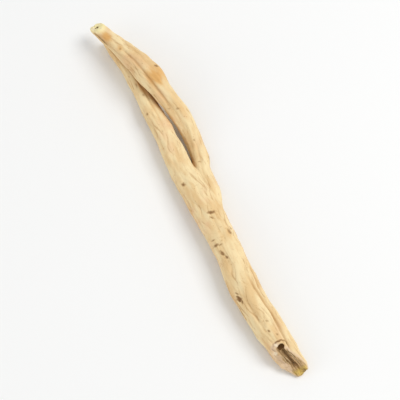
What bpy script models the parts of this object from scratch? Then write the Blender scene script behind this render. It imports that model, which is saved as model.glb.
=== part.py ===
"""A dried, forked ginseng root, lying on a table.

The root grew as one piece, so it is one solid: a stout body runs from the broken crown at +X to a fork, and
splits there into two legs. The lower leg lies along the table and tapers to a thin tip. The upper leg bends at
a knuckle and crosses over it. Long furrows, knobs and scars are raised from the surface by formula.
Metres, +Z up. The origin is under the middle of the root, at the height of the table.
"""

import math
import random

import bmesh
import bpy
from mathutils import Matrix, Vector, noise

MM = 0.001

# Stations along each limb's middle line, in millimetres: along, across, height over the table, radius.
# The body and the lower leg are one limb, from the crown to the tip.
BODY_STATIONS = [
    (63.0, -1.1, 2.5, 2.3),
    (59.5, -1.9, 3.0, 2.9),
    (56.0, -2.65, 3.2, 3.4),
    (49.0, -2.8, 3.5, 3.9),
    (41.5, -3.15, 4.15, 4.0),
    (34.0, -2.9, 4.5, 4.0),
    (24.0, -1.9, 4.6, 3.8),
    (13.5, -1.2, 4.4, 4.0),
    (4.0, -1.3, 4.0, 3.9),
    (-5.0, -1.3, 3.5, 3.4),
    (-12.5, -0.7, 3.5, 3.3),
    (-19.5, -0.3, 3.4, 3.1),
    (-27.0, 0.0, 3.1, 2.9),
    (-34.5, 0.5, 2.5, 2.6),
    (-40.5, 0.6, 2.1, 2.3),
    (-45.5, 0.4, 1.8, 2.0),
    (-50.5, -0.3, 1.7, 1.6),
    (-55.0, -1.1, 1.6, 1.0),
]
# The upper leg starts inside the body and ends over the lower leg's tip.
LEG_STATIONS = [
    (14.0, 0.7, 4.1, 1.6),
    (5.5, 2.3, 3.4, 2.7),
    (-1.0, 3.5, 2.4, 2.55),
    (-5.5, 4.9, 2.0, 2.45),
    (-10.0, 6.1, 2.0, 2.5),
    (-15.5, 6.85, 3.2, 2.7),
    (-20.0, 6.6, 4.7, 2.95),
    (-25.0, 5.7, 6.3, 3.0),
    (-29.0, 4.8, 7.5, 3.1),
    (-34.0, 3.8, 8.2, 3.45),
    (-39.0, 2.9, 8.3, 3.3),
    (-44.5, 1.7, 7.7, 2.9),
    (-49.5, 0.35, 6.9, 2.45),
    (-54.0, -1.1, 6.4, 2.15),
    (-59.3, -2.6, 6.2, 2.2),
]

SIDES = 46  # facets round a limb
RING_SPACING = 1.9  # between cross-sections, mm
STEPS_PER_SPAN = 12  # fine steps between stations, for measuring the line's length
BLUNT_END = 0.55  # share of the radius left at the flat of a limb's end
END_RINGS = (0.0, 0.12, 0.4)  # where the rounded ends' cross-sections are, in radii from the end

# Cross-sections are a little flattened and three-cornered, turning slowly along the limb.
OVAL_SHARE = 0.05
CORNER_SHARE = 0.04
OVAL_TURN = 70.0  # mm of length for a radian of turn
CORNER_TURN = 45.0
SWELL_SHARE = 0.035  # slow uneven swelling
SWELL_SIZE = 7.0  # mm

# Long furrows, from drying.
BODY_FURROWS = 20
LEG_FURROWS = 15
FURROW_LENGTH = (18.0, 60.0)  # mm
FURROW_DEPTH = (0.3, 0.75)  # mm
FURROW_HALF_WIDTH = 0.55  # mm
FURROW_JITTER = 0.45  # share of the even spacing round the limb, to either side
FURROW_WANDER = 0.12  # radians to either side
FURROW_WAVE = (22.0, 60.0)  # mm
BODY_SEED = 5
LEG_SEED = 11

# Knobs where rootlets grew: along the limb from its start, angle (0 faces +Y, 90 up), height, spread, in mm.
BODY_KNOBS = [
    (14.5, 118.0, 0.45, 1.5),
    (33.5, 140.0, 0.50, 1.6),
    (52.0, 95.0, 0.35, 1.3),
    (68.0, 205.0, 0.45, 1.5),
    (88.0, 130.0, 0.35, 1.3),
]
LEG_KNOBS = [
    (20.5, 12.0, 0.45, 1.4),
    (49.0, 48.0, 0.60, 2.4),
    (62.0, 120.0, 0.35, 1.3),
]

# The crown and the upper leg's tip broke off aslant. Each break is a plane from its top down to its foot, in mm,
# rolled about that line by its tilt, in degrees.
CROWN_BREAK = ((53.9, -3.85, 6.9), (62.7, -1.1, 1.8), 40.0)
TIP_BREAK = ((-55.3, -1.4, 8.6), (-59.9, -2.8, 5.1), 0.0)
BREAK_BLOCK = 30.0  # side of the block that is cut away, mm

# Hollows in the breaks. Each place is from the middle of its break: down it, across it and out of it, in mm.
CLEFT_HALF = (4.9, 0.8, 1.5)  # half length, width and depth
CLEFT_PLACE = (0.4, 0.0, 0.2)
CLEFT_SIDES = 20
CLEFT_RINGS = 12
CROWN_PIT_RADIUS = 0.85
CROWN_PIT_PLACE = (-4.2, -0.15, -0.35)
TIP_PIT_RADIUS = 0.75
TIP_PIT_PLACE = (0.2, 0.0, -0.2)
PIT_SIDES = 12

TABLE_SIZE = 200.0  # the block that levels the low spots, mm

SKIN_COLOUR = (0.79, 0.61, 0.36, 1.0)
SKIN_ROUGHNESS = 0.78


def clear_scene():
    """Removes everything that the startup scene holds."""
    for thing in list(bpy.data.objects):
        bpy.data.objects.remove(thing, do_unlink=True)


def new_collection(name):
    """A collection in the scene."""
    made = bpy.data.collections.new(name)
    bpy.context.scene.collection.children.link(made)
    return made


def skin_material():
    """Pale tan, matt, dried skin."""
    material = bpy.data.materials.new("dried_skin")
    material.use_nodes = True
    shader = material.node_tree.nodes["Principled BSDF"]
    shader.inputs["Base Color"].default_value = SKIN_COLOUR
    shader.inputs["Roughness"].default_value = SKIN_ROUGHNESS
    shader.inputs["Metallic"].default_value = 0.0
    return material


def smooth_between(stations, span, share):
    """The station at a share of the way along a span, on a Catmull-Rom curve through all of them."""
    last = len(stations) - 1
    before, start, end, after = (Vector(stations[min(max(span + k, 0), last)]) for k in (-1, 0, 1, 2))
    square, cube = share**2, share**3
    return (
        start
        + (end - before) * (share / 2)
        + (before * 2 - start * 5 + end * 4 - after) * (square / 2)
        + (start * 3 - before - end * 3 + after) * (cube / 2)
    )


def fine_line(stations):
    """(distance from the start, station) at close steps along a limb."""
    line = [(0.0, Vector(stations[0]))]
    for span in range(len(stations) - 1):
        for step in range(1, STEPS_PER_SPAN + 1):
            station = smooth_between(stations, span, step / STEPS_PER_SPAN)
            distance = line[-1][0] + (station.xyz - line[-1][1].xyz).length
            line.append((distance, station))
    return line


def station_at(line, distance):
    """The station at a distance along a fine line."""
    for (near, a), (far, b) in zip(line, line[1:]):
        if distance <= far:
            return a.lerp(b, (distance - near) / (far - near))
    return line[-1][1].copy()


def ring_distances(length, end_radius, tip_radius):
    """Where a limb's cross-sections are: evenly spaced, and closer together at its rounded ends."""
    steps = round((length - end_radius - tip_radius) / RING_SPACING)
    even = [end_radius + (length - end_radius - tip_radius) * k / steps for k in range(steps + 1)]
    start = [share * end_radius for share in END_RINGS]
    finish = [length - share * tip_radius for share in reversed(END_RINGS)]
    return start + even + finish


def end_rounding(distance, length, end_radius, tip_radius):
    """The share of the radius that is left near a limb's ends."""
    inset = min(distance / end_radius, (length - distance) / tip_radius, 1.0)
    return BLUNT_END + (1 - BLUNT_END) * math.sqrt(1 - (1 - inset) ** 2)


def scattered_furrows(count, length, seed):
    """Furrows spread round a limb, each with its own stretch, depth and wander."""
    draw = random.Random(seed)
    furrows = []
    for k in range(count):
        reach = draw.uniform(*FURROW_LENGTH)
        furrows.append(
            {
                "middle": draw.uniform(0.0, length),
                "reach": reach,
                "angle": math.tau * (k + draw.uniform(-FURROW_JITTER, FURROW_JITTER)) / count,
                "depth": draw.uniform(*FURROW_DEPTH),
                "wave": draw.uniform(*FURROW_WAVE),
                "phase": draw.uniform(0.0, math.tau),
            }
        )
    return furrows


def turn_between(angle, other):
    """The signed angle from one direction to another, within half a turn."""
    return (angle - other + math.pi) % math.tau - math.pi


def furrow_depth(furrows, distance, angle, radius):
    """How far the furrows sink the surface at one place, in mm."""
    sunk = 0.0
    for furrow in furrows:
        off_end = abs(distance - furrow["middle"]) / (furrow["reach"] / 2)
        if off_end >= 1:
            continue
        wander = FURROW_WANDER * math.sin(distance / furrow["wave"] * math.tau + furrow["phase"])
        aside = turn_between(angle, furrow["angle"] + wander) * radius / FURROW_HALF_WIDTH
        sunk += furrow["depth"] * (1 - off_end**2) * math.exp(-(aside**2))
    return sunk


def knob_height(knobs, distance, angle, radius):
    """How far the knobs raise the surface at one place, in mm."""
    raised = 0.0
    for along, degrees, height, spread in knobs:
        aside = turn_between(angle, math.radians(degrees)) * radius
        reach = ((distance - along) ** 2 + aside**2) / spread**2
        raised += height * math.exp(-reach)
    return raised


def surface_radius(limb, distance, angle, radius):
    """The limb's radius in one direction at one cross-section, in mm."""
    oval = OVAL_SHARE * math.cos(2 * (angle - distance / OVAL_TURN))
    corners = CORNER_SHARE * math.cos(3 * (angle + distance / CORNER_TURN))
    where = Vector((math.cos(angle) * radius, math.sin(angle) * radius, distance)) / SWELL_SIZE
    swell = SWELL_SHARE * noise.noise(where + Vector((0, 0, limb["seed"])))
    plain = radius * (1 + oval + corners + swell)
    small = min(radius / limb["widest"], 1.0)
    carved = knob_height(limb["knobs"], distance, angle, radius) - furrow_depth(
        limb["furrows"], distance, angle, radius
    )
    return plain + carved * small


def make_limb(name, stations, furrow_count, knobs, seed, material):
    """A closed tube of changing cross-section along the stations, with its furrows and knobs."""
    line = fine_line(stations)
    length = line[-1][0]
    end_radius, tip_radius = stations[0][3], stations[-1][3]
    limb = {
        "seed": seed,
        "knobs": knobs,
        "furrows": scattered_furrows(furrow_count, length, seed),
        "widest": max(station[3] for station in stations),
    }
    mesh = bmesh.new()
    rings = []
    for distance in ring_distances(length, end_radius, tip_radius):
        station = station_at(line, distance)
        ahead = station_at(line, min(distance + RING_SPACING, length)).xyz
        behind = station_at(line, max(distance - RING_SPACING, 0.0)).xyz
        along = (ahead - behind).normalized()
        side = along.cross(Vector((0, 0, 1))).normalized()
        up = side.cross(along)
        rounding = end_rounding(distance, length, end_radius, tip_radius)
        ring = []
        for k in range(SIDES):
            angle = math.tau * k / SIDES
            reach = surface_radius(limb, distance, angle, station.w) * rounding
            outward = side * math.cos(angle) + up * math.sin(angle)
            ring.append(mesh.verts.new((station.xyz + outward * reach) * MM))
        rings.append(ring)
    for near, far in zip(rings, rings[1:]):
        for k in range(SIDES):
            after = (k + 1) % SIDES
            mesh.faces.new((near[k], near[after], far[after], far[k]))
    mesh.faces.new(rings[0])
    mesh.faces.new(rings[-1])
    bmesh.ops.recalc_face_normals(mesh, faces=mesh.faces)
    return finished(mesh, name, material)


def finished(mesh, name, material):
    """An object, smooth shaded, that takes over the mesh."""
    data = bpy.data.meshes.new(name)
    mesh.to_mesh(data)
    mesh.free()
    data.materials.append(material)
    data.shade_smooth()
    return bpy.data.objects.new(name, data)


def make_block(name, size, material):
    """A cube whose lower face is centred on its own origin."""
    mesh = bmesh.new()
    bmesh.ops.create_cube(mesh, size=size, matrix=Matrix.Translation((0, 0, size / 2)))
    return finished(mesh, name, material)


def make_ball(name, radii, sides, rings, material):
    """An ellipsoid centred on its own origin."""
    mesh = bmesh.new()
    bmesh.ops.create_uvsphere(
        mesh, u_segments=sides, v_segments=rings, radius=1.0, matrix=Matrix.Diagonal((*radii, 1.0))
    )
    return finished(mesh, name, material)


def break_matrix(top, foot, tilt):
    """Places things on a break: X runs down the break, Z stands out from it."""
    top, foot = Vector(top) * MM, Vector(foot) * MM
    downhill = (foot - top).normalized()
    across = Vector((0, 0, 1)).cross(downhill).normalized()
    level = Matrix((downhill, across, downhill.cross(across))).transposed().to_4x4()
    return Matrix.Translation((top + foot) / 2) @ level @ Matrix.Rotation(math.radians(tilt), 4, "X")


def make_break(name, place, material):
    """The block that breaks an end off."""
    block = make_block(name, BREAK_BLOCK * MM, material)
    block.matrix_world = place
    return block


def make_hollow(name, place, offset, radii, sides, rings, material):
    """An ellipsoid at an offset from the middle of a break."""
    hollow = make_ball(name, [radius * MM for radius in radii], sides, rings, material)
    hollow.matrix_world = place @ Matrix.Translation(Vector(offset) * MM)
    return hollow


def make_pit(name, place, offset, radius, material):
    """A small round hollow."""
    return make_hollow(name, place, offset, [radius] * 3, PIT_SIDES, PIT_SIDES // 2, material)


def make_cutters(material):
    """The shapes that are taken away from the root, each with the name of what it leaves."""
    crown, tip = break_matrix(*CROWN_BREAK), break_matrix(*TIP_BREAK)
    table = make_block("table_level", TABLE_SIZE * MM, material)
    table.location = (0, 0, -TABLE_SIZE * MM)
    return [
        make_break("crown_break", crown, material),
        make_hollow("crown_cleft", crown, CLEFT_PLACE, CLEFT_HALF, CLEFT_SIDES, CLEFT_RINGS, material),
        make_pit("crown_pit", crown, CROWN_PIT_PLACE, CROWN_PIT_RADIUS, material),
        make_break("tip_break", tip, material),
        make_pit("tip_pit", tip, TIP_PIT_PLACE, TIP_PIT_RADIUS, material),
        table,
    ]


def keep_as_guide(guide, collection):
    """Puts a cutter or a joined shape where it shapes the root and isn't seen itself."""
    collection.objects.link(guide)
    guide.hide_render = True
    guide.display_type = "WIRE"


def add_boolean(target, operation, guide):
    """Joins the guide to the target, or cuts it away."""
    boolean = target.modifiers.new(guide.name, "BOOLEAN")
    boolean.operation = operation
    boolean.solver = "EXACT"
    boolean.object = guide


def centre_on_origin(root, followers):
    """Moves the root and the shapes that cut it so that the middle of its outline is over the origin."""
    bpy.context.view_layer.update()
    shown = root.evaluated_get(bpy.context.evaluated_depsgraph_get())
    corners = [shown.matrix_world @ Vector(corner) for corner in shown.bound_box]
    middle = (Vector(map(min, zip(*corners))) + Vector(map(max, zip(*corners)))) / 2
    shift = Vector((-middle.x, -middle.y, 0))
    for thing in [root, *followers]:
        thing.location += shift


def main():
    """Builds the root."""
    clear_scene()
    skin = skin_material()
    root_collection = new_collection("ginseng")
    guides_collection = new_collection("guides")

    root = make_limb("ginseng_root", BODY_STATIONS, BODY_FURROWS, BODY_KNOBS, BODY_SEED, skin)
    root_collection.objects.link(root)
    upper_leg = make_limb("upper_leg", LEG_STATIONS, LEG_FURROWS, LEG_KNOBS, LEG_SEED, skin)
    keep_as_guide(upper_leg, guides_collection)
    add_boolean(root, "UNION", upper_leg)

    cutters = make_cutters(skin)
    for cutter in cutters:
        keep_as_guide(cutter, guides_collection)
        add_boolean(root, "DIFFERENCE", cutter)
    centre_on_origin(root, [upper_leg, *cutters])


main()
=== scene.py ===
"""A dried, forked ginseng root lying on a pale table, under soft studio light.

The skin is one fine mesh: two limbs are grown ring by ring, broken off aslant at the crown and at the
upper leg's tip, joined, hollowed at both breaks and remeshed, and the crease at their fork is rounded out.
Furrows, wrinkles, knobs and scars are then raised from it along each limb, and torn strands on the breaks.
Lengths are in millimetres until a finished mesh is brought to metres.
"""

import math
import random
from collections import namedtuple
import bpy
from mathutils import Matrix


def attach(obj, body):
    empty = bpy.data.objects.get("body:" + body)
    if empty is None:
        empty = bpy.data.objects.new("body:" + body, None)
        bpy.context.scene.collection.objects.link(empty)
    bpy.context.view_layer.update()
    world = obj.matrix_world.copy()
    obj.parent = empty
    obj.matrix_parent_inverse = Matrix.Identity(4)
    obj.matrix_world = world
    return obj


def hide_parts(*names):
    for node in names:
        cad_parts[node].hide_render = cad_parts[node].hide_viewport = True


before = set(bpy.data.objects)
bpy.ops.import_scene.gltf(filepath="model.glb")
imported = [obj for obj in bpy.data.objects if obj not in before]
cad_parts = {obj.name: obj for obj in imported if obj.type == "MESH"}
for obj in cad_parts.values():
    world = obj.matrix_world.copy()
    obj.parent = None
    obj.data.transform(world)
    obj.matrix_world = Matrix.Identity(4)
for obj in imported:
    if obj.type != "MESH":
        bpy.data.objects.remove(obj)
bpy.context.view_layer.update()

from types import SimpleNamespace

import bmesh
import bpy
import numpy as np
from mathutils import Matrix, Vector, noise
from mathutils.kdtree import KDTree

MM = 0.001

# The limbs: stations along each middle line, as along, across, height over the table, radius.
BODY_STATIONS = [
    (63.0, -1.1, 2.5, 2.3),
    (59.5, -1.9, 3.0, 2.9),
    (56.0, -2.65, 3.2, 3.4),
    (49.0, -2.8, 3.5, 3.9),
    (41.5, -3.15, 4.15, 4.0),
    (34.0, -2.9, 4.5, 4.0),
    (24.0, -1.9, 4.6, 3.8),
    (13.5, -1.2, 4.4, 4.0),
    (4.0, -1.3, 4.0, 3.9),
    (-5.0, -1.3, 3.5, 3.4),
    (-12.5, -0.7, 3.5, 3.3),
    (-19.5, -0.3, 3.4, 3.1),
    (-27.0, 0.0, 3.1, 2.9),
    (-34.5, 0.5, 2.5, 2.6),
    (-40.5, 0.6, 2.1, 2.3),
    (-45.5, 0.4, 1.8, 2.0),
    (-50.5, -0.3, 1.7, 1.6),
    (-55.0, -1.1, 1.6, 1.0),
]
LEG_STATIONS = [
    (14.0, 0.7, 4.1, 1.6),
    (5.5, 2.3, 3.4, 2.7),
    (-1.0, 3.5, 2.4, 2.55),
    (-5.5, 4.9, 2.0, 2.45),
    (-10.0, 6.1, 2.0, 2.5),
    (-15.5, 6.85, 3.2, 2.7),
    (-20.0, 6.6, 4.7, 2.95),
    (-25.0, 5.7, 6.3, 3.0),
    (-29.0, 4.8, 7.5, 3.1),
    (-34.0, 3.8, 8.2, 3.45),
    (-39.0, 2.9, 8.3, 3.3),
    (-44.5, 1.7, 7.7, 2.9),
    (-49.5, 0.35, 6.9, 2.45),
    (-54.0, -1.1, 6.4, 2.15),
    (-59.3, -2.6, 6.2, 2.2),
]
TO_MIDDLE = Vector((-1.693, -0.966, 0.0))  # from the stations' origin to the middle of the root's outline

STEPS_PER_SPAN = 12
RING_SPACING = 1.0
LIMB_SIDES = 48
BLUNT_END = 0.55  # share of the radius left at the flat of a limb's end
END_RINGS = (0.0, 0.05, 0.12, 0.25, 0.4, 0.6, 0.8)  # in radii from the end

# Cross-sections: oval and three-cornered, turning slowly, and swelling unevenly.
OVAL_SHARE, OVAL_TURN = 0.05, 70.0
CORNER_SHARE, CORNER_TURN = 0.04, 45.0
SWELL_SHARE, SWELL_SIZE = 0.035, 7.0

# Furrows are like the solid's own, creases are finer ones between them, and hairlines are finer still.
# Each kind has its lengths, depths, width and sharpness, how unevenly it is spread round the limb, and how
# far it wanders and over what length.
FURROWS = SimpleNamespace(
    reach=(18.0, 60.0), depth=(0.3, 0.75), half_width=0.55, sharpness=1.6,
    jitter=0.45, wander=0.12, wave=(22.0, 60.0),
)
CREASES = SimpleNamespace(
    reach=(5.0, 26.0), depth=(0.06, 0.24), half_width=0.3, sharpness=1.3,
    jitter=0.5, wander=0.16, wave=(9.0, 24.0),
)
HAIRLINES = SimpleNamespace(
    reach=(3.0, 13.0), depth=(0.05, 0.16), half_width=0.24, sharpness=1.5,
    jitter=0.5, wander=0.2, wave=(6.0, 18.0),
)
BODY_LINES, BODY_SEED = {"furrows": 20, "creases": 90, "hairlines": 260}, 5
LEG_LINES, LEG_SEED = {"furrows": 15, "creases": 60, "hairlines": 150}, 11

# Knobs where rootlets grew: along the limb, angle (0 faces +Y, 90 up), height, spread.
BODY_KNOBS = [
    (14.5, 118.0, 0.45, 1.5),
    (33.5, 140.0, 0.50, 1.6),
    (52.0, 95.0, 0.35, 1.3),
    (68.0, 205.0, 0.45, 1.5),
    (88.0, 130.0, 0.35, 1.3),
]
LEG_KNOBS = [
    (20.5, 12.0, 0.45, 1.4),
    (49.0, 48.0, 0.60, 2.4),
    (62.0, 120.0, 0.35, 1.3),
]

# The breaks: top, foot and tilt in degrees, with the half sizes and middles of the hollows in them.
CROWN_BREAK = ((53.9, -3.85, 6.9), (62.7, -1.1, 1.8), 40.0)
TIP_BREAK = ((-55.3, -1.4, 8.6), (-59.9, -2.8, 5.1), 0.0)
CLEFT_HALF = (4.9, 0.8, 1.5)
CLEFT_PLACE = (0.4, 0.0, 0.2)
CROWN_PIT_HALF = (0.8, 1.1, 0.9)
CROWN_PIT_PLACE = (-4.2, 0.1, -0.35)
TIP_PIT_HALF = (0.75, 0.75, 0.75)
TIP_PIT_PLACE = (0.2, 0.0, -0.2)
HOLLOW_SIDES, HOLLOW_RINGS = 40, 24

# Where the inside can show, from not at all to fully: along the body from its crown, and along both limbs
# from their tips.
CROWN_INSIDE = (14.0, 11.0)
THIN_TIP_INSIDE = (-2.1, -0.5)
LEG_TIP_INSIDE = (-7.5, -5.5)
CROWN_END = (16.0, 12.0)  # along the body: what belongs to the crown's break
TIP_SHARE = (0.4, 0.6)  # how much a place has to be the leg's own to belong to the break at its tip
BARK_INSET = (0.05, 0.13)  # share of the radius over which the bark gives way to the inside
BARK_TEETH = 0.05  # how uneven the bark's edge is, as a share of the radius
TORN_EDGE = 0.02  # how far the inside has to show for finer faces

CROTCH_REACH = 1.25  # how near both limbs are where the skin between them is browned with painted shade
FORK_START, FORK_END = 20.0, 14.0  # along the upper leg: where its crease starts to fade, and is gone
FORK_EDGE = 0.35  # how brown its crease has to be to be rounded out
FORK_PASSES = 60

SKIN_GRAIN = 0.25  # size of the remeshed skin's faces
SKIN_PASSES = 3  # how often the remeshed skin is smoothed
GRAIN_SHIFT = 10  # keeps the grains of the limbs apart

# Relief of the skin: lumps, long crests, wrinkles across in patches, and the frayed rim at the crown.
LUMP_HEIGHT, BROAD_LUMP_HEIGHT = 0.22, 0.24
CREST_HEIGHT, CREST_FINENESS = 0.14, 0.8
WRINKLE_DEPTH, WRINKLED_SHARE = 0.1, (0.05, 0.4)
RIM_WIDTH, RIM_HEIGHT, RIM_FRAY = 0.5, 0.1, 0.35

# Relief of the torn inside, with its grooves, less of it on the crown's flank, and how pale its strands are.
CROWN_RELIEF, FLANK_SMOOTHING, TIP_RELIEF = 0.42, 0.27, 0.25
GROOVE_SHARE, TORN_LIFT = 0.8, 0.05
STRAND_PALENESS = 0.6
FLANK = (-1.2, -2.2)  # across the crown's break: where its paler flank starts, and where it is full

# How deep furrows and hairlines are where their painted shade is darkest, and how dark the painted shade in
# wrinkles across is.
DARK_FURROW, DARK_HAIRLINE, CROSSING_DARKNESS = 0.7, 0.14, 0.6

# Noises: the size of their features, along and across the grain where they follow it, and their seed.
Noise = namedtuple("Noise", "size seed")
SEED_STEP = np.array((17.3, 5.1, 9.7))  # from one seed's noise to the next one's
RIDGE_SHARPNESS = 4
CROSS_WRINKLES = Noise((0.9, 3.0, 3.0), 4)
WRINKLED_PATCHES = Noise((9.0, 4.0, 4.0), 5)
LUMPS = Noise((3.6, 1.9, 1.9), 6)
RAGGED_MARKS = Noise((0.8, 0.8, 0.8), 7)
TORN_STRANDS = Noise((5.0, 0.6, 0.9), 8)
TORN_GROOVES = Noise((3.5, 0.35, 0.6), 9)
CRESTS = Noise((30.0, 2.8, 2.8), 10)
RIM_TEETH = Noise((1.5, 1.5, 1.5), 11)
BARK_EDGE = Noise((1.6, 0.4, 0.4), 12)
BROAD_LUMPS = Noise((6.5, 3.6, 3.6), 13)
FINE_RAGGED_MARKS = Noise((0.4, 0.4, 0.4), 14)
FLANK_EDGE = Noise((1.2, 1.2, 1.2), 15)
PIT_RING_WAVE = Noise((0.9, 0.9, 0.9), 16)
PIT_RING_PATCHES = Noise((1.4, 1.4, 1.4), 17)
SPOT_EDGES = Noise((0.7, 0.7, 0.7), 18)


def smooth_between(stations, span, share):
    """The station at a share of the way along a span, on a Catmull-Rom curve through all of them."""
    last = len(stations) - 1
    before, start, end, after = (Vector(stations[min(max(span + k, 0), last)]) for k in (-1, 0, 1, 2))
    square, cube = share**2, share**3
    return (
        start
        + (end - before) * (share / 2)
        + (before * 2 - start * 5 + end * 4 - after) * (square / 2)
        + (start * 3 - before - end * 3 + after) * (cube / 2)
    )


class Limb:
    """A limb's middle line, with its radius and the directions across it, and its furrows and knobs."""

    def __init__(self, stations, lines, knobs, seed):
        line = [Vector(stations[0])]
        for span in range(len(stations) - 1):
            shares = [step / STEPS_PER_SPAN for step in range(1, STEPS_PER_SPAN + 1)]
            line += [smooth_between(stations, span, share) for share in shares]
        self.middle = np.array([station[:3] for station in line])
        self.radius = np.array([station[3] for station in line])
        steps = np.linalg.norm(np.diff(self.middle, axis=0), axis=1)
        self.at = np.concatenate(([0.0], np.cumsum(steps)))
        self.length = self.at[-1]
        along = np.gradient(self.middle, axis=0)
        self.along = along / np.linalg.norm(along, axis=1)[:, None]
        side = np.cross(self.along, (0.0, 0.0, 1.0))
        self.side = side / np.linalg.norm(side, axis=1)[:, None]
        self.up = np.cross(self.side, self.along)
        self.seed = seed
        self.knobs = knobs
        self.furrows = scattered_furrows(FURROWS, lines["furrows"], self.length, seed)
        self.creases = scattered_furrows(CREASES, lines["creases"], self.length, seed + 1)
        self.hairlines = scattered_furrows(HAIRLINES, lines["hairlines"], self.length, seed + 2)

    def ring_place(self, distance):
        """The matrix that lays a unit circle round the limb at a distance from its start."""
        def here(values):
            return np.array([np.interp(distance, self.at, column) for column in values.T])

        radius = np.interp(distance, self.at, self.radius) * self.rounding(distance)
        side, up, along = here(self.side), here(self.up), here(self.along)
        turn = Matrix(np.stack((side, up, -along)).tolist()).transposed()
        size = Matrix.Diagonal((radius, radius, 1.0, 1.0))
        return Matrix.Translation(here(self.middle)) @ turn.to_4x4() @ size

    def rounding(self, distance):
        """The share of the radius that is left near the limb's ends."""
        inset = np.minimum(distance / self.radius[0], (self.length - distance) / self.radius[-1])
        return BLUNT_END + (1 - BLUNT_END) * np.sqrt(1 - (1 - np.clip(inset, 0, 1)) ** 2)

    def rings(self):
        """Where the cross-sections are: evenly spaced, and closer together at the rounded ends."""
        first, last = self.radius[0], self.radius[-1]
        even = np.arange(first, self.length - last, RING_SPACING)
        start = [share * first for share in END_RINGS]
        end = [self.length - share * last for share in reversed(END_RINGS)]
        return start + list(even) + end

    def coordinates(self, points):
        """Where each point is along and round the limb, and how far out from its middle and its surface."""
        tree = KDTree(len(self.middle))
        for k, point in enumerate(self.middle):
            tree.insert(point, k)
        tree.balance()
        near = np.array([tree.find(point)[1] for point in points])
        offset = points - self.middle[near]
        step = np.sum(offset * self.along[near], axis=1)
        across = offset - self.along[near] * step[:, None]
        out = np.linalg.norm(across, axis=1)
        distance = np.clip(self.at[near] + step, 0.0, self.length)
        radius = np.interp(distance, self.at, self.radius)
        upward = np.sum(across * self.up[near], axis=1)
        sideways = np.sum(across * self.side[near], axis=1)
        return SimpleNamespace(
            distance=distance,
            angle=np.arctan2(upward, sideways),
            radius=radius,
            way=across / out[:, None],
            out=out,
            gap=np.hypot(out, self.at[near] + step - distance) - radius,
        )


def scattered_furrows(kind, count, length, seed):
    """Furrows spread round a limb, each with its own stretch, depth and wander."""
    draw = random.Random(seed)
    furrows = []
    for k in range(count):
        reach = draw.uniform(*kind.reach)
        furrows.append(
            {
                "middle": draw.uniform(0.0, length),
                "reach": reach,
                "angle": math.tau * (k + draw.uniform(-kind.jitter, kind.jitter)) / count,
                "depth": draw.uniform(*kind.depth),
                "wave": draw.uniform(*kind.wave),
                "phase": draw.uniform(0.0, math.tau),
            }
        )
    return furrows


def turn_between(angle, other):
    """The signed angle from one direction to another, within half a turn."""
    return (angle - other + math.pi) % math.tau - math.pi


def noise_at(points, kind):
    """Smooth noise between -1 and 1 at each point, with features of the kind's size."""
    shifted = points / np.asarray(kind.size) + kind.seed * SEED_STEP
    return np.array([noise.noise(point) for point in shifted.tolist()])


def ridges(values):
    """Noise turned to sharp lines: 1 along the lines, 0 between them."""
    return np.clip(1 - np.abs(values) * RIDGE_SHARPNESS, 0, 1)


def smooth_step(low, high, values):
    """0 at the low value, 1 at the high one, and smooth between."""
    share = np.clip((values - low) / (high - low), 0, 1)
    return share * share * (3 - 2 * share)


def bump_at(values, middle, spread):
    """1 at the middle, fading to 0 a few spreads away."""
    return np.exp(-(((values - middle) / spread) ** 2))


# Marks: limb, along, angle, half length, half width, turn from lengthwise, depth, darkness.
MARKS = [
    ("body", 25.5, 153.0, 1.0, 0.7, 25.0, 0.35, 1.0),
    ("body", 24.4, 147.0, 0.8, 0.35, -30.0, 0.2, 0.7),
    ("body", 27.0, 150.0, 0.9, 0.3, 40.0, 0.2, 0.6),
    ("body", 38.7, 131.0, 1.2, 0.55, 15.0, 0.25, 0.68),
    ("body", 37.2, 121.0, 0.9, 0.4, 30.0, 0.25, 0.65),
    ("body", 41.8, 146.0, 1.4, 0.55, 78.0, 0.25, 0.68),
    ("body", 41.2, 122.0, 1.0, 0.34, 82.0, 0.2, 0.55),
    ("body", 43.5, 145.0, 1.2, 0.3, 75.0, 0.2, 0.55),
    ("body", 50.8, 94.0, 1.1, 0.5, 70.0, 0.25, 0.75),
    ("body", 49.3, 101.0, 0.7, 0.35, 30.0, 0.2, 0.6),
    ("body", 43.6, 63.0, 1.2, 0.6, 15.0, 0.2, 0.6),
    ("body", 44.7, 44.0, 0.6, 0.45, 60.0, 0.2, 0.6),
    ("body", 62.7, 134.0, 0.9, 0.6, 40.0, 0.25, 0.7),
    ("body", 22.8, 180.0, 2.6, 0.3, 8.0, 0.25, 0.7),
    ("body", 13.8, 112.0, 0.5, 0.4, 0.0, 0.2, 0.7),
    ("body", 16.6, 96.0, 0.6, 0.35, 50.0, 0.15, 0.5),
    ("body", 11.9, 88.0, 0.5, 0.35, 30.0, 0.15, 0.5),
    ("body", 68.0, 205.0, 0.6, 0.5, 0.0, 0.3, 0.8),
    ("body", 88.0, 130.0, 0.5, 0.4, 0.0, 0.25, 0.6),
    ("leg", 18.9, 100.0, 0.9, 0.4, 80.0, 0.2, 0.45),
    ("leg", 20.5, 12.0, 0.5, 0.45, 0.0, 0.3, 0.8),
    ("leg", 26.5, 96.0, 0.6, 0.45, 30.0, 0.2, 0.5),
    ("leg", 37.2, 101.0, 0.7, 0.45, 70.0, 0.2, 0.5),
    ("leg", 50.3, 52.0, 0.7, 0.5, 20.0, 0.3, 0.7),
    ("leg", 62.0, 120.0, 0.5, 0.4, 0.0, 0.2, 0.5),
    ("leg", 70.5, 172.0, 4.5, 0.35, 0.0, 0.15, 0.75),
]
PORES = {"body": (120, 21), "leg": (80, 22)}  # how many on each limb, and the seed of their places
PORE_INSET = 4.0  # how far they stay from the limb's ends
LENGTHWISE_SHARE = 0.6  # how many of them lie lengthwise
LENGTHWISE_PORE = SimpleNamespace(half_length=(0.3, 1.1), turn=(-15.0, 15.0))
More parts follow.
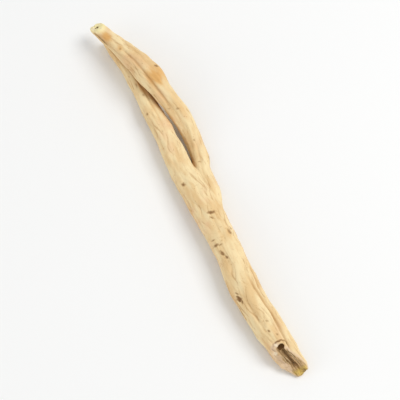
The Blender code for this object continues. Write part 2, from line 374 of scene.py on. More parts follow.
CROSSWISE_PORE = SimpleNamespace(half_length=(0.3, 0.7), turn=(60.0, 120.0))
PORE_HALF_WIDTH = (0.2, 0.34)
PORE_DEPTH = (0.05, 0.16)
PORE_DARKNESS = (0.1, 0.42)

# Marks have ragged edges and a raised border, and are kept to their own limb.
RAGGEDNESS, FINE_RAGGEDNESS, RAGGED_RANGE = 0.9, 0.7, (0.3, 2.0)
BORDER_HEIGHT, BORDER_REACH = 0.4, 0.35
OUT_OF_REACH = 50.0

# Pale spots on and beside the breaks: limb, place down and across its break, size. The one on the leg's
# break is a painted highlight on its cut face.
PALE_SPOTS = [
    ("body", (-5.3, -0.7), 0.55),
    ("body", (-3.4, -2.3), 0.6),
    ("body", (3.8, 3.5), 0.8),
    ("leg", (0.6, 1.3), 0.8),
]
SPOT_RAGGEDNESS = 0.5

# The painted shade in the crown's pit and in the leg's: how far out in pit sizes it starts, and where it is
# full.
CROWN_PIT_EDGE, TIP_PIT_EDGE = (1.2, 0.95), (1.0, 0.8)
# The brown ring round the crown's pit: how far out in pit sizes, its width, wave, darkness and patchiness.
PIT_RING = SimpleNamespace(reach=2.1, width=0.3, wave=0.5, darkness=0.65, patches=0.6)

# On the crown's break: the dark band down it, which is painted shade along its cleft, a second one aslant
# beside that, a dark spot near the foot, and how far down the olive foot starts, and is full.
BAND = SimpleNamespace(across=-0.5, width=0.75, end=(3.4, 2.0))
SIDE_BAND = SimpleNamespace(across=2.0, slant=0.6, width=0.6, darkness=0.8)
FOOT_SPOT = SimpleNamespace(down=4.9, across=0.8, size=0.7, darkness=1.2)
OLIVE_FOOT = (3.0, 4.4)
PALE_END, PALE_END_REACH = 0.7, 1.1  # how pale the skin beside the leg's break is, and how far back

# Honey stains: limb, along, angle, spread along in mm, spread round in radians, strength.
STAINS = [
    ("leg", 48.2, 82.0, 3.2, 0.80, 1.0),
    ("leg", 69.0, 112.0, 2.3, 0.80, 0.85),
    ("leg", 62.3, 122.0, 1.8, 0.60, 0.55),
    ("leg", 37.0, 70.0, 2.6, 0.50, 0.35),
    ("body", 52.0, 28.0, 2.6, 0.45, 0.45),
    ("body", 32.8, 161.0, 3.0, 0.40, 0.35),
    ("body", 43.2, 68.0, 3.0, 0.35, 0.5),
    ("body", 40.5, 140.0, 3.2, 0.45, 0.4),
]


def mark_reach(mark, part):
    """How far each place is from a mark's middle, as a share of its size, squared."""
    _, along, degrees, half_length, half_width, turn, _, _ = mark
    ahead = part.distance - along
    aside = turn_between(part.angle, math.radians(degrees)) * part.radius
    cosine, sine = math.cos(math.radians(turn)), math.sin(math.radians(turn))
    lengthwise = (ahead * cosine + aside * sine) / half_length
    sidewise = (aside * cosine - ahead * sine) / half_width
    return lengthwise**2 + sidewise**2


def scattered_pores(name, limb):
    """Small pores, short cracks along the skin and shorter ones across it."""
    count, seed = PORES[name]
    draw = random.Random(seed)
    marks = []
    for _ in range(count):
        kind = LENGTHWISE_PORE if draw.random() < LENGTHWISE_SHARE else CROSSWISE_PORE
        marks.append(
            (
                name,
                draw.uniform(PORE_INSET, limb.length - PORE_INSET),
                draw.uniform(-180.0, 180.0),
                draw.uniform(*kind.half_length),
                draw.uniform(*PORE_HALF_WIDTH),
                draw.uniform(*kind.turn),
                draw.uniform(*PORE_DEPTH),
                draw.uniform(*PORE_DARKNESS),
            )
        )
    return marks


def furrow_depth(furrows, kind, part):
    """How far furrows of one kind sink the surface, in mm."""
    sunk = np.zeros(len(part.distance))
    for furrow in furrows:
        off_end = np.abs(part.distance - furrow["middle"]) / (furrow["reach"] / 2)
        wander = kind.wander * np.sin(part.distance / furrow["wave"] * math.tau + furrow["phase"])
        aside = np.abs(turn_between(part.angle, furrow["angle"] + wander)) * part.radius / kind.half_width
        sunk += furrow["depth"] * np.clip(1 - off_end**2, 0, 1) * np.exp(-(aside**kind.sharpness))
    return sunk


def limb_relief(limb, part):
    """Relief on one limb, in mm outwards, and how deep in a furrow and in a hairline each place is."""
    oval = OVAL_SHARE * np.cos(2 * (part.angle - part.distance / OVAL_TURN))
    corners = CORNER_SHARE * np.cos(3 * (part.angle + part.distance / CORNER_TURN))
    across = (np.cos(part.angle) * part.radius, np.sin(part.angle) * part.radius)
    around = np.stack((*across, part.distance), axis=1) / SWELL_SIZE + (0, 0, limb.seed)
    swell = SWELL_SHARE * np.array([noise.noise(point) for point in around.tolist()])
    sunk = furrow_depth(limb.furrows, FURROWS, part) + furrow_depth(limb.creases, CREASES, part)
    raised = np.zeros(len(part.distance))
    for along, degrees, height, spread in limb.knobs:
        aside = turn_between(part.angle, math.radians(degrees)) * part.radius
        raised += height * np.exp(-((part.distance - along) ** 2 + aside**2) / spread**2)
    small = np.minimum(part.radius / limb.radius.max(), 1.0)
    hair = furrow_depth(limb.hairlines, HAIRLINES, part)
    lift = part.radius * (oval + corners + swell) + (raised - sunk - hair) * small
    return lift, sunk * small, hair * small


def grow_limb(limb):
    """A closed round tube along the limb: a circle, extruded ring by ring and capped at both ends."""
    mesh = bmesh.new()
    bmesh.ops.create_circle(mesh, cap_ends=False, radius=1.0, segments=LIMB_SIDES)
    places = [limb.ring_place(distance) for distance in limb.rings()]
    bmesh.ops.transform(mesh, matrix=places[0], verts=mesh.verts)
    ring = mesh.edges[:]
    for before, after in zip(places, places[1:]):
        grown = bmesh.ops.extrude_edge_only(mesh, edges=ring)["geom"]
        ring = [part for part in grown if isinstance(part, bmesh.types.BMEdge)]
        verts = [part for part in grown if isinstance(part, bmesh.types.BMVert)]
        bmesh.ops.transform(mesh, matrix=after @ before.inverted(), verts=verts)
    bmesh.ops.holes_fill(mesh, edges=[edge for edge in mesh.edges if edge.is_boundary])
    bmesh.ops.recalc_face_normals(mesh, faces=mesh.faces)
    return mesh


def break_matrix(top, foot, tilt):
    """Places things on a break: X runs down the break, Z stands out from it."""
    top, foot = Vector(top), Vector(foot)
    downhill = (foot - top).normalized()
    across = Vector((0, 0, 1)).cross(downhill).normalized()
    level = Matrix((downhill, across, downhill.cross(across))).transposed().to_4x4()
    return Matrix.Translation((top + foot) / 2) @ level @ Matrix.Rotation(math.radians(tilt), 4, "X")


def break_off(mesh, place):
    """Cuts a limb's end away at a break, and closes the cut."""
    bmesh.ops.bisect_plane(
        mesh,
        geom=mesh.verts[:] + mesh.edges[:] + mesh.faces[:],
        plane_co=place.translation,
        plane_no=place.col[2].to_3d(),
        clear_outer=True,
    )
    bmesh.ops.holes_fill(mesh, edges=[edge for edge in mesh.edges if edge.is_boundary])


def as_object(mesh, name):
    """An object in the scene that takes over the mesh."""
    data = bpy.data.meshes.new(name)
    mesh.to_mesh(data)
    mesh.free()
    made = bpy.data.objects.new(name, data)
    bpy.context.scene.collection.objects.link(made)
    return made


def hollow(name, place, offset, radii):
    """An ellipsoid at an offset from the middle of a break."""
    mesh = bmesh.new()
    bmesh.ops.create_uvsphere(mesh, u_segments=HOLLOW_SIDES, v_segments=HOLLOW_RINGS, radius=1.0)
    matrix = place @ Matrix.Translation(offset) @ Matrix.Diagonal((*radii, 1.0))
    bmesh.ops.transform(mesh, matrix=matrix, verts=mesh.verts)
    return as_object(mesh, name)


def relax(mesh, verts, passes):
    """Moves vertices halfway to the middle of their neighbours, pass by pass."""
    every_axis = {"use_axis_x": True, "use_axis_y": True, "use_axis_z": True}
    for _ in range(passes):
        bmesh.ops.smooth_vert(mesh, verts=verts, factor=0.5, **every_axis)


def joined_skin(limbs, breaks):
    """The two limbs in one closed mesh of even faces, broken off at both ends and hollowed there."""
    stem, branch = grow_limb(limbs["body"]), grow_limb(limbs["leg"])
    break_off(stem, breaks["body"])
    break_off(branch, breaks["leg"])
    root = as_object(stem, "ginseng_skin")
    helpers = [
        ("UNION", as_object(branch, "upper_leg")),
        ("DIFFERENCE", hollow("cleft", breaks["body"], CLEFT_PLACE, CLEFT_HALF)),
        ("DIFFERENCE", hollow("crown_pit", breaks["body"], CROWN_PIT_PLACE, CROWN_PIT_HALF)),
        ("DIFFERENCE", hollow("tip_pit", breaks["leg"], TIP_PIT_PLACE, TIP_PIT_HALF)),
    ]
    for operation, helper in helpers:
        boolean = root.modifiers.new(helper.name, "BOOLEAN")
        boolean.operation = operation
        boolean.solver = "EXACT"
        boolean.object = helper
    remesh = root.modifiers.new("even faces", "REMESH")
    remesh.mode = "VOXEL"
    remesh.voxel_size = SKIN_GRAIN
    bpy.context.view_layer.update()
    shown = root.evaluated_get(bpy.context.evaluated_depsgraph_get())
    data = bpy.data.meshes.new_from_object(shown)
    mesh = bmesh.new()
    mesh.from_mesh(data)
    bpy.data.meshes.remove(data)
    for thing in [root] + [helper for _, helper in helpers]:
        bpy.data.objects.remove(thing)
    relax(mesh, mesh.verts, SKIN_PASSES)
    return mesh


def vertex_array(mesh, what="co"):
    """The vertices' places or normals, as rows of numbers."""
    return np.array([getattr(vert, what)[:] for vert in mesh.verts])


def move_vertices(mesh, places):
    """Puts the vertices where the rows say."""
    for vert, place in zip(mesh.verts, places.tolist()):
        vert.co = place
    mesh.normal_update()


def local_to(place, points):
    """The points, as seen from a place."""
    here = np.array(place.inverted())
    return points @ here[:3, :3].T + here[:3, 3]


def grain_along(part, out):
    """Places in a limb's grain, as if it were straight: along it, and across it at a distance out."""
    return np.stack((part.distance, np.cos(part.angle) * out, np.sin(part.angle) * out), axis=1)


class Skin:
    """Where each point of the skin is along the limbs, whose skin it is, and where the inside shows."""

    def __init__(self, mesh, limbs, breaks):
        self.points = vertex_array(mesh)
        self.parts = {name: limb.coordinates(self.points) for name, limb in limbs.items()}
        body, leg = self.parts["body"], self.parts["leg"]
        # Nearness to both limbs: where the fork is rounded out, and where the skin gets painted shade.
        self.crotch = bump_at(np.maximum(leg.gap, body.gap), 0.0, CROTCH_REACH)
        body_share = np.clip(0.5 + leg.gap - body.gap, 0, 1)
        self.share = {"body": body_share, "leg": 1 - body_share}
        self.grain = np.zeros_like(self.points)
        for name, part in self.parts.items():
            own_grain = grain_along(part, part.radius) + (limbs[name].seed * GRAIN_SHIFT, 0, 0)
            self.grain += own_grain * self.share[name][:, None]
        self.local = {name: local_to(place, self.points) for name, place in breaks.items()}
        at_crown = smooth_step(*CROWN_INSIDE, body.distance)
        at_thin_tip = smooth_step(*THIN_TIP_INSIDE, body.distance - limbs["body"].length)
        at_leg_tip = smooth_step(*LEG_TIP_INSIDE, leg.distance - limbs["leg"].length)
        ends = {"body": np.maximum(at_crown, at_thin_tip), "leg": at_leg_tip}
        teeth = BARK_TEETH * noise_at(self.grain, BARK_EDGE)
        self.inside = np.zeros(len(self.points))
        for name, part in self.parts.items():
            inset = 1 - part.out / (part.radius * limbs[name].rounding(part.distance)) + teeth
            torn = smooth_step(*BARK_INSET, inset) * ends[name] * self.share[name]
            self.inside = np.maximum(self.inside, torn)
        self.whole = 1 - self.inside
        self.on_crown = self.inside * smooth_step(*CROWN_END, body.distance)
        self.on_tip = self.inside * smooth_step(*TIP_SHARE, self.share["leg"])


def refine_breaks(mesh, skin):
    """Finer faces where the inside shows."""
    mesh.verts.ensure_lookup_table()
    torn = (skin.on_crown + skin.on_tip) > TORN_EDGE
    edges = [edge for edge in mesh.edges if all(torn[vert.index] for vert in edge.verts)]
    bmesh.ops.subdivide_edges(mesh, edges=edges, cuts=1, use_grid_fill=True)
    mesh.verts.index_update()


def soften_fork(mesh, skin):
    """Rounds out the crease where the upper leg grows from the body."""
    mesh.verts.ensure_lookup_table()
    leg_start = smooth_step(FORK_START, FORK_END, skin.parts["leg"].distance)
    soft = np.flatnonzero(skin.crotch * leg_start > FORK_EDGE)
    relax(mesh, [mesh.verts[k] for k in soft], FORK_PASSES)


def raise_relief(mesh, skin, limbs):
    """Moves the skin out from its limbs by their relief. Returns how deep in furrows and hairlines it is."""
    furrow, hairline = np.zeros(len(skin.points)), np.zeros(len(skin.points))
    for name, limb in limbs.items():
        part = skin.parts[name]
        lift, sunk, hair = limb_relief(limb, part)
        lift = lift * np.minimum(part.out / part.radius, 1.0) * skin.share[name]
        skin.points += part.way * lift[:, None]
        furrow += sunk * skin.share[name]
        hairline += hair * skin.share[name]
    move_vertices(mesh, skin.points)
    return furrow, hairline


def carve_marks(skin, limbs):
    """How far scars and pores dent the skin, and how dark they are."""
    dent = np.zeros(len(skin.points))
    scar = np.zeros(len(skin.points))
    ragged = RAGGEDNESS * noise_at(skin.points, RAGGED_MARKS)
    ragged += FINE_RAGGEDNESS * noise_at(skin.points, FINE_RAGGED_MARKS)
    ragged = np.clip(1 + ragged, *RAGGED_RANGE)
    for mark in MARKS + [pore for name, limb in limbs.items() for pore in scattered_pores(name, limb)]:
        name, *_, depth, darkness = mark
        reach = np.where(skin.share[name] > 0.5, mark_reach(mark, skin.parts[name]) * ragged, OUT_OF_REACH)
        dip = np.exp(-reach)
        dent += depth * (dip - BORDER_HEIGHT * np.exp(-reach * BORDER_REACH))
        scar = np.maximum(scar, darkness * dip)
    return dent, scar


def raise_bark(mesh, skin, dent):
    """Lumps, crests and cross wrinkles on the skin, its dents, and a frayed rim at the crown."""
    crossing = ridges(noise_at(skin.grain, CROSS_WRINKLES))
    crossing *= smooth_step(*WRINKLED_SHARE, noise_at(skin.grain, WRINKLED_PATCHES))
    crest = ridges(CREST_FINENESS * noise_at(skin.grain, CRESTS))
    lumps = LUMP_HEIGHT * noise_at(skin.grain, LUMPS) + BROAD_LUMP_HEIGHT * noise_at(skin.grain, BROAD_LUMPS)
    rim = bump_at(skin.local["body"][:, 2], 0.0, RIM_WIDTH) * skin.whole
    rim *= smooth_step(*CROWN_END, skin.parts["body"].distance)
    lift = lumps + CREST_HEIGHT * crest - WRINKLE_DEPTH * crossing - dent
    lift += rim * (RIM_HEIGHT + RIM_FRAY * noise_at(skin.points, RIM_TEETH))
    skin.points += vertex_array(mesh, "normal") * (lift * skin.whole)[:, None]
    return crossing, rim


def tear_breaks(mesh, skin, breaks, flank):
    """Strands and grooves on the breaks, smoother on the crown's flank. Returns how pale the strands are."""
    pale = np.zeros(len(skin.points))
    relief = {"body": CROWN_RELIEF - FLANK_SMOOTHING * flank, "leg": TIP_RELIEF}
    for name, torn in (("body", skin.on_crown), ("leg", skin.on_tip)):
        local = skin.local[name]
        strand = noise_at(local, TORN_STRANDS) - GROOVE_SHARE * ridges(noise_at(local, TORN_GROOVES))
        outward = np.array(breaks[name].col[2][:3])
        skin.points += outward * (torn * (relief[name] * strand + TORN_LIFT))[:, None]
        pale += STRAND_PALENESS * torn * (1 + strand)
    skin.points[:, 2] = np.maximum(skin.points[:, 2], 0.0)
    move_vertices(mesh, skin.points)
    return pale


def pit_tints(skin):
    """Where the pits get painted shade, and where a brown ring lies round the crown's pit."""
    crown_pit = np.linalg.norm((skin.local["body"] - CROWN_PIT_PLACE) / CROWN_PIT_HALF, axis=1)
    tip_pit = np.linalg.norm((skin.local["leg"] - TIP_PIT_PLACE) / TIP_PIT_HALF, axis=1)
    hole = np.maximum(smooth_step(*CROWN_PIT_EDGE, crown_pit), smooth_step(*TIP_PIT_EDGE, tip_pit))
    around = crown_pit + PIT_RING.wave * noise_at(skin.points, PIT_RING_WAVE)
    ring = PIT_RING.darkness + PIT_RING.patches * noise_at(skin.points, PIT_RING_PATCHES)
    return hole * skin.inside, ring * bump_at(around, PIT_RING.reach, PIT_RING.width)


def pale_spots(skin):
    """Where pale spots are on and beside the breaks, the one on the leg's break a painted highlight."""
    bright = np.zeros(len(skin.points))
    ragged = 1 + SPOT_RAGGEDNESS * noise_at(skin.points, SPOT_EDGES)
    for name, place, size in PALE_SPOTS:
        spread = np.linalg.norm((skin.local[name] - (*place, 0.0)) / (size, size, 2 * size), axis=1)
        bright = np.maximum(bright, bump_at(spread * ragged, 0.0, 1.0))
    return bright


def dark_bands(skin, down, across):
    """Where dark bands run down the crown's break, the one along its cleft painted shade, and where its foot
    has a dark spot.
    """
    band = bump_at(across, BAND.across, BAND.width) * smooth_step(*BAND.end, down)
    band += SIDE_BAND.darkness * bump_at(across - SIDE_BAND.slant * down, SIDE_BAND.across, SIDE_BAND.width)
    spot = np.hypot(down - FOOT_SPOT.down, across - FOOT_SPOT.across)
    band += FOOT_SPOT.darkness * bump_at(spot, 0.0, FOOT_SPOT.size)
    return np.clip(band, 0, 1) * skin.on_crown


def honey_stains(skin):
    """Where the skin is stained, and how strongly."""
    ochre = np.zeros(len(skin.points))
    for name, along, degrees, spread, turn, strength in STAINS:
        part = skin.parts[name]
        stain = bump_at(turn_between(part.angle, math.radians(degrees)), 0.0, turn)
        stain *= strength * bump_at(part.distance, along, spread) * skin.share[name]
        ochre = np.maximum(ochre, stain)
    return ochre


def carve_skin(mesh, limbs, breaks):
    """Raises the relief of the skin and of its breaks. Returns masks for its colours, among them painted
    shade and a painted highlight, and its grain.
    """
    skin = Skin(mesh, limbs, breaks)
    furrow, hairline = raise_relief(mesh, skin, limbs)
    dent, scar = carve_marks(skin, limbs)
    crossing, rim = raise_bark(mesh, skin, dent)
    down = skin.local["body"][:, 0]
    across = skin.local["body"][:, 1] + noise_at(skin.points, FLANK_EDGE)
    flank = smooth_step(*FLANK, across) * skin.on_crown
    pale = tear_breaks(mesh, skin, breaks, flank)
    pit_shade, ring = pit_tints(skin)
    leg_crease = smooth_step(FORK_END, FORK_START, skin.parts["leg"].distance)
    near_tip = PALE_END * bump_at(skin.local["leg"][:, 2], 0.0, PALE_END_REACH) * skin.share["leg"]
    # Painted shade in hairlines and wrinkles across, the darker where they sink the skin more.
    wrinkle_shade = np.maximum(hairline / DARK_HAIRLINE, CROSSING_DARKNESS * crossing)
    masks = {
        # Painted shade in the furrows, the darker the deeper they are.
        "furrow": np.clip(furrow / DARK_FURROW, 0, 1) * skin.whole,
        "wrinkle_shade": np.clip(wrinkle_shade, 0, 1) * skin.whole,
        "scar": np.maximum(scar, ring) * skin.whole,
        "torn": skin.inside,
        # Painted shade in the pits.
        "hollow": pit_shade,
        # The band down the crown's cleft is painted shade.
        "band": dark_bands(skin, down, across),
        "fibre": np.clip(pale, 0, 1),
        "ochre": honey_stains(skin),
        # Painted shade on the skin between the limbs.
        "crotch": skin.crotch * skin.whole * leg_crease,
        "pale_end": np.maximum(skin.on_tip, near_tip),
        "lip": np.maximum(rim, flank),
        "foot": smooth_step(*OLIVE_FOOT, down) * skin.on_crown,
        # Pale spots, one of them a painted highlight on the leg's broken tip.
        "bright": pale_spots(skin),
    }
    return masks, skin.grain


# Shader maths


class Value:
    """A node's output that takes part in sums as a number does."""

    def __init__(self, finish, socket):
        self.finish = finish
        self.socket = socket

    def maths(self, operation, first, second):
        """What a Math node makes of two numbers."""
        return self.finish.add("ShaderNodeMath", {"operation": operation}, {0: first, 1: second})

    def __add__(self, other):
        return self.maths("ADD", self, other)

    def __radd__(self, other):
        return self.maths("ADD", other, self)

    def __mul__(self, other):
        return self.maths("MULTIPLY", self, other)

    def __rmul__(self, other):
        return self.maths("MULTIPLY", other, self)


class Finish:
    """A material, with one way to add any node to it."""

    def __init__(self, name):
        self.material = bpy.data.materials.new(name)
        self.material.use_nodes = True
        self.nodes = self.material.node_tree.nodes
        self.shader = self.nodes["Principled BSDF"]

    def add(self, kind, settings, inputs, output=0):
        """Adds a node: its settings first, then its sockets. Returns one of its outputs."""
        node = self.nodes.new(kind)
        for name, setting in settings.items():
            setattr(node, name, setting)
        for socket, value in inputs.items():
            self.feed(node.inputs[socket], value)
        return Value(self, node.outputs[output])

    def feed(self, socket, value):
        """Links a value to a socket, or sets a constant on it."""
        if isinstance(value, Value):
            self.material.node_tree.links.new(value.socket, socket)
        else:
            socket.default_value = value

    def attribute(self, name, output="Fac"):
        """One of the masks that a piece carries on its points, or its grain."""
        return self.add("ShaderNodeAttribute", {"attribute_name": name}, {}, output)

    def blotches(self, where, scale, detail, roughness=0.55):
        """Cloudy noise about 0.5, finer the larger the scale."""
        inputs = {"Vector": where, "Scale": scale, "Detail": detail, "Roughness": roughness}
        return self.add("ShaderNodeTexNoise", {"noise_dimensions": "3D"}, inputs)

    def stretched(self, grain, share):
        """Places in the grain, with what lies there drawn out along it, the more the smaller the share."""
        return self.add("ShaderNodeVectorMath", {"operation": "MULTIPLY"}, {0: grain, 1: (share, 1.0, 1.0)})

    def between(self, value, low, high):
        """0 at the low value, 1 at the high one, smooth and clamped between."""
        settings = {"interpolation_type": "SMOOTHSTEP"}
        return self.add("ShaderNodeMapRange", settings, {"Value": value, "From Min": low, "From Max": high})

    def mix(self, share, first, second):
        """Two colours, mixed."""
        return self.add("ShaderNodeMix", {"data_type": "RGBA"}, {0: share, 6: first, 7: second}, 2)

    def layered(self, colour, layers):
        """A colour under layers: each one's tint, where it lies, from and to which value, how strongly."""
        for tint, where, low, high, strength in layers:
            colour = self.mix(self.between(where, low, high) * strength, colour, tint)
        return colour


CREAM = (0.90, 0.73, 0.43, 1.0)
TAN = (0.80, 0.57, 0.29, 1.0)
ROSE = (0.80, 0.48, 0.27, 1.0)
HONEY = (0.72, 0.39, 0.12, 1.0)
# Brown of streaks, specks and scar rims, and also painted shade in furrows, wrinkles and the fork.
FURROW_BROWN = (0.48, 0.25, 0.085, 1.0)
SCAR_BROWN = (0.23, 0.115, 0.04, 1.0)
WOOD = (0.42, 0.265, 0.115, 1.0)
WOOD_PALE = (0.66, 0.45, 0.235, 1.0)
# Painted shade along the crown's cleft and on its fibres, and the other dark marks on its break.
CLEFT_SHADE_AND_BAND_DARK = (0.30, 0.18, 0.075, 1.0)
# Painted shade in the pits.
PIT_SHADE_BROWN = (0.14, 0.065, 0.018, 1.0)
PITH = (0.98, 0.88, 0.45, 1.0)
PITH_CREAM = (0.98, 0.88, 0.60, 1.0)
LIP_PINK = (0.80, 0.60, 0.41, 1.0)
# Pale spots, one of them a painted highlight on the leg's broken tip.
PALE_SPOT_AND_HIGHLIGHT = (0.96, 0.84, 0.63, 1.0)
OLIVE = (0.76, 0.54, 0.15, 1.0)
TABLE_SHADE = (0.87, 0.88, 0.885, 1.0)
TABLE_LIGHT = (0.89, 0.90, 0.905, 1.0)


def dried_skin():
    """Pale cream skin, browner in its furrows, with dark scars, and stringy brown wood where it is torn;
    painted shade darkens furrows, wrinkles, the fork, pits and cleft, and a painted highlight lies on the
    leg's tip.
    """
    finish = Finish("dried_skin")
    place = finish.add("ShaderNodeTexCoord", {}, {}, "Object")
    grain = finish.attribute("grain", "Vector")
    furrow, wrinkle_shade, scar, torn = map(finish.attribute, ("furrow", "wrinkle_shade", "scar", "torn"))
    pit_shade, fibre, ochre, crotch = map(finish.attribute, ("hollow", "fibre", "ochre", "crotch"))
    pale_end, lip, foot, band, bright = map(finish.attribute, ("pale_end", "lip", "foot", "band", "bright"))
    broad = finish.blotches(finish.stretched(grain, 0.35), scale=0.32, detail=2.0)
    mottle = finish.blotches(finish.stretched(grain, 0.3), scale=0.8, detail=4.0, roughness=0.6)
    streaks = finish.blotches(finish.stretched(grain, 0.13), scale=1.15, detail=4.0, roughness=0.6)
    strands = finish.blotches(finish.stretched(grain, 0.12), scale=3.4, detail=4.0, roughness=0.65)
    fine_strands = finish.blotches(finish.stretched(grain, 0.35), scale=7.0, detail=4.0, roughness=0.65)
    rosy = finish.blotches(place, scale=130.0, detail=2.0)
    specks = finish.blotches(place, scale=1300.0, detail=3.0, roughness=0.7)
    flecks = finish.blotches(place, scale=2800.0, detail=3.0, roughness=0.7)
    skin = finish.layered(
        CREAM,
        [
            (TAN, broad, 0.38, 0.66, 1.0),
            (ROSE, rosy, 0.5, 0.72, 0.5),
            (TAN, mottle, 0.48, 0.68, 0.6),
            (FURROW_BROWN, streaks, 0.53, 0.72, 0.38),
            # Painted shade in the furrows.
            (FURROW_BROWN, furrow, 0.15, 1.0, 0.55),
            # Painted shade in hairlines and wrinkles across.
            (FURROW_BROWN, wrinkle_shade, 0.35, 1.0, 0.45),
            # Painted shade between the limbs at the fork.
            (FURROW_BROWN, crotch, 0.15, 0.85, 0.9),
            (FURROW_BROWN, specks + 0.25 * mottle, 0.72, 0.88, 0.55),
            (HONEY, ochre * (0.3 + 1.3 * mottle), 0.1, 0.85, 0.9),
            (FURROW_BROWN, scar, 0.12, 0.6, 0.45),
            (SCAR_BROWN, scar * (0.4 + flecks), 0.12, 0.75, 0.95),
        ],
    )
    wood = finish.layered(WOOD, [(WOOD_PALE, 0.6 * fibre + strands, 0.4, 1.05, 1.0)])
    wood = finish.mix(foot * finish.between(strands, 0.25, 0.55), wood, OLIVE)
    # The band along the crown's cleft is painted shade.
    wood = finish.layered(wood, [(CLEFT_SHADE_AND_BAND_DARK, band, 0.1, 0.9, 0.7)])
    pith = finish.layered(PITH, [(PITH_CREAM, strands, 0.4, 0.7, 1.0)])
    lip_strands = finish.between(strands, 0.2, 0.6) * 0.8
    colour = finish.layered(
        finish.mix(torn, skin, wood),
        [
            (pith, pale_end, 0.1, 0.9, 0.95),
            (LIP_PINK, lip, 0.2, 0.9, lip_strands),
            # Pale spots, the one on the leg's break a painted highlight.
            (PALE_SPOT_AND_HIGHLIGHT, bright, 0.2, 0.9, 0.8),
            # Painted shade in the pits.
            (PIT_SHADE_BROWN, pit_shade, 0.1, 0.8, 1.0),
        ],
    )
    finish.feed(finish.shader.inputs["Base Color"], colour)
    finish.feed(finish.shader.inputs["Roughness"], 0.6 + 0.3 * specks)
    height = strands + 0.5 * fine_strands + 0.4 * specks
    bump = finish.add("ShaderNodeBump", {}, {"Strength": 0.6, "Distance": 0.0002, "Height": height})
    finish.feed(finish.shader.inputs["Normal"], bump)
    finish.shader.inputs["Specular IOR Level"].default_value = 0.2
    return finish.material


def pale_table():
    """A plain pale table top, faintly clouded."""
    finish = Finish("pale_table")
    place = finish.add("ShaderNodeTexCoord", {}, {}, "Object")
    cloud = finish.blotches(place, scale=6.0, detail=2.0)
    finish.feed(finish.shader.inputs["Base Color"], finish.mix(cloud, TABLE_SHADE, TABLE_LIGHT))
    finish.shader.inputs["Roughness"].default_value = 0.6
    return finish.material


def finished_piece(mesh, name, masks, grain, material):
    """A smooth shaded piece in metres, with its masks and its grain as attributes of its points."""
    bmesh.ops.translate(mesh, verts=mesh.verts, vec=TO_MIDDLE)
    bmesh.ops.scale(mesh, verts=mesh.verts, vec=(MM, MM, MM))
    piece = as_object(mesh, name)
    for mask, values in masks.items():
        layer = piece.data.attributes.new(mask, "FLOAT", "POINT")
        layer.data.foreach_set("value", values.astype(np.float32))
    layer = piece.data.attributes.new("grain", "FLOAT_VECTOR", "POINT")
    layer.data.foreach_set("vector", grain.astype(np.float32).ravel())
    piece.data.materials.append(material)
    piece.data.shade_smooth()
    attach(piece, "root")
    return piece


# Fibres on the torn crown: where they start down and across the break, their length and thickness, how they
# bend, how deep they are rooted, their shades, and the painted shade that darkens them all.
FIBRE_COUNT = 15
FIBRE_SEED = 31
FIBRE_START = (-4.6, 3.6)
FIBRE_ASIDE = 2.4
FIBRE_LENGTH = (1.2, 5.0)
FIBRE_RADIUS = (0.07, 0.13)
FIBRE_HEADING = math.radians(14.0)
FIBRE_SWAY = 0.25
FIBRE_CURL = (0.1, 0.45)
FIBRE_SINK = 0.3
FIBRE_TAPER = 4  # how many times thinner the free end is
FIBRE_PALENESS = (0.0, 0.3)
FIBRE_PAINTED_SHADE = 0.6
FIBRE_WITHIN = 0.98  # share of the body's radius that they keep within
FIBRE_INSET = 0.4  # how far along the body they stay from its end
FIBRE_SIDES = 6
FIBRE_CUTS = 5


def grow_fibre(draw, place, start):
    """One tapering fibre that lies down the break and curls up at its free end."""
    length = draw.uniform(*FIBRE_LENGTH)
    radius = draw.uniform(*FIBRE_RADIUS)
    sway = draw.uniform(-FIBRE_SWAY, FIBRE_SWAY)
    curl = draw.uniform(*FIBRE_CURL)
    heading = Matrix.Rotation(draw.uniform(-FIBRE_HEADING, FIBRE_HEADING), 4, "Z")
    fibre = bmesh.new()
    bmesh.ops.create_cone(
        fibre,
        cap_ends=True,
        segments=FIBRE_SIDES,
        radius1=radius,
        radius2=radius / FIBRE_TAPER,
        depth=length,
    )
    long_edges = [edge for edge in fibre.edges if edge.calc_length() > length / 2]
    bmesh.ops.subdivide_edges(fibre, edges=long_edges, cuts=FIBRE_CUTS)
    for vert in fibre.verts:
        share = vert.co.z / length + 0.5
        bend = sway * math.sin(share * math.pi)
        vert.co = (share * length, vert.co.y + bend, vert.co.x + curl * share**2)
    bmesh.ops.recalc_face_normals(fibre, faces=fibre.faces)
    bmesh.ops.transform(fibre, matrix=place @ Matrix.Translation(start) @ heading, verts=fibre.verts)
    return fibre


def over_hollow(start):
    """Whether a fibre would start over the cleft or over the crown's pit."""
    return any(
        math.hypot((start.x - place[0]) / half[0], (start.y - place[1]) / half[1]) < 1
        for place, half in ((CLEFT_PLACE, CLEFT_HALF), (CROWN_PIT_PLACE, CROWN_PIT_HALF))
    )


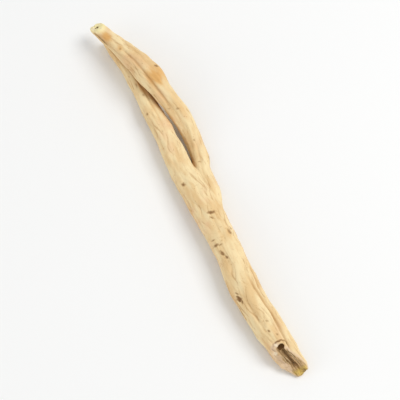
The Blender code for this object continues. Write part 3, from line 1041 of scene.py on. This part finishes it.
def build_crown_fibres(body, place):
    """Stringy fibres that stand out of the torn crown."""
    draw = random.Random(FIBRE_SEED)
    mesh = bmesh.new()
    shades = []
    while len(shades) < FIBRE_COUNT:
        start = Vector((draw.uniform(*FIBRE_START), draw.uniform(-FIBRE_ASIDE, FIBRE_ASIDE), -FIBRE_SINK))
        fibre = grow_fibre(draw, place, start)
        reach = body.coordinates(vertex_array(fibre))
        within = (reach.out / reach.radius).max() < FIBRE_WITHIN and reach.distance.min() > FIBRE_INSET
        if within and not over_hollow(start):
            data = bpy.data.meshes.new("fibre")
            fibre.to_mesh(data)
            mesh.from_mesh(data)
            bpy.data.meshes.remove(data)
            shades.append(draw.uniform(*FIBRE_PALENESS))
        fibre.free()
    points = vertex_array(mesh)
    along = body.coordinates(points)
    grain = grain_along(along, along.out)
    ones = np.ones(len(points))
    paleness = np.repeat(shades, len(points) // FIBRE_COUNT)
    # Every fibre carries painted shade, in the colour of the band along the cleft.
    masks = {"torn": ones, "band": FIBRE_PAINTED_SHADE * ones, "fibre": paleness}
    finished_piece(mesh, "crown_fibres", masks, grain, bpy.data.materials["dried_skin"])


def build_root():
    """The root's skin, in place of the plain solid, and the fibres of its torn crown."""
    limbs = {
        "body": Limb(BODY_STATIONS, BODY_LINES, BODY_KNOBS, BODY_SEED),
        "leg": Limb(LEG_STATIONS, LEG_LINES, LEG_KNOBS, LEG_SEED),
    }
    breaks = {"body": break_matrix(*CROWN_BREAK), "leg": break_matrix(*TIP_BREAK)}
    mesh = joined_skin(limbs, breaks)
    rough_skin = Skin(mesh, limbs, breaks)
    soften_fork(mesh, rough_skin)
    refine_breaks(mesh, rough_skin)
    masks, grain = carve_skin(mesh, limbs, breaks)
    root = finished_piece(mesh, "root_skin", masks, grain, dried_skin())
    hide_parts("ginseng_root")
    build_crown_fibres(limbs["body"], breaks["body"])


TABLE_HALF = 1.5  # metres


def build_table():
    """The table top that the root lies on."""
    mesh = bmesh.new()
    bmesh.ops.create_grid(mesh, x_segments=1, y_segments=1, size=TABLE_HALF)
    table = as_object(mesh, "table_top")
    table.data.materials.append(pale_table())


VIEW_AZIMUTH = math.radians(61.6)
VIEW_ELEVATION = math.radians(65.0)
VIEW_AIM = Vector((0.0037, -0.002, 0.0026))
VIEW_HEIGHT = 0.113  # metres seen from the picture's bottom to its top, at the root
LENS = 110.0

# Lights: which way each is from the root, seen from the camera, with its distance, size, power and colour.
KEY_LIGHT = SimpleNamespace(
    right=0.75, up=0.6, back=0.9, distance=0.9, size=0.5, power=4.0, colour=(1.0, 0.985, 0.96)
)
FILL_LIGHT = SimpleNamespace(
    right=-1.0, up=-0.2, back=0.6, distance=0.9, size=0.6, power=1.3, colour=(1.0, 0.95, 0.88)
)
ROOM_LIGHT = 0.66


def view_axes():
    """The camera's own right, up and back."""
    right = Vector((math.cos(VIEW_AZIMUTH), math.sin(VIEW_AZIMUTH), 0.0))
    flat = math.cos(VIEW_ELEVATION)
    back = Vector((math.sin(VIEW_AZIMUTH) * flat, -math.cos(VIEW_AZIMUTH) * flat, math.sin(VIEW_ELEVATION)))
    return right, back.cross(right), back


def aim(thing, location, right, up, back):
    """Puts a camera or a light at a place, facing against its back."""
    thing.matrix_world = Matrix.Translation(location) @ Matrix((right, up, back)).transposed().to_4x4()


def set_camera():
    """A camera at the photograph's angle, close enough for the root to fill the picture."""
    right, up, back = view_axes()
    lens = bpy.data.cameras.new("camera")
    lens.lens = LENS
    camera = bpy.data.objects.new("camera", lens)
    bpy.context.scene.collection.objects.link(camera)
    distance = VIEW_HEIGHT * LENS / lens.sensor_width
    aim(camera, VIEW_AIM + back * distance, right, up, back)
    bpy.context.scene.camera = camera


def add_softbox(name, light):
    """A square soft light that faces the root."""
    data = bpy.data.lights.new(name, "AREA")
    data.shape = "SQUARE"
    data.size = light.size
    data.energy = light.power
    data.color = light.colour
    softbox = bpy.data.objects.new(name, data)
    bpy.context.scene.collection.objects.link(softbox)
    right, up, back = view_axes()
    facing = (right * light.right + up * light.up + back * light.back).normalized()
    level = Vector((0, 0, 1)).cross(facing).normalized()
    aim(softbox, facing * light.distance, level, facing.cross(level), facing)


def set_lights():
    """A large soft light from the picture's upper right, a weak one from its left and a bright room."""
    add_softbox("key", KEY_LIGHT)
    add_softbox("fill", FILL_LIGHT)
    world = bpy.data.worlds.new("room")
    world.use_nodes = True
    world.node_tree.nodes["Background"].inputs["Color"].default_value = (1.0, 1.0, 1.0, 1.0)
    world.node_tree.nodes["Background"].inputs["Strength"].default_value = ROOM_LIGHT
    bpy.context.scene.world = world
    bpy.context.scene.view_settings.view_transform = "Standard"


set_camera()
set_lights()
build_table()
build_root()
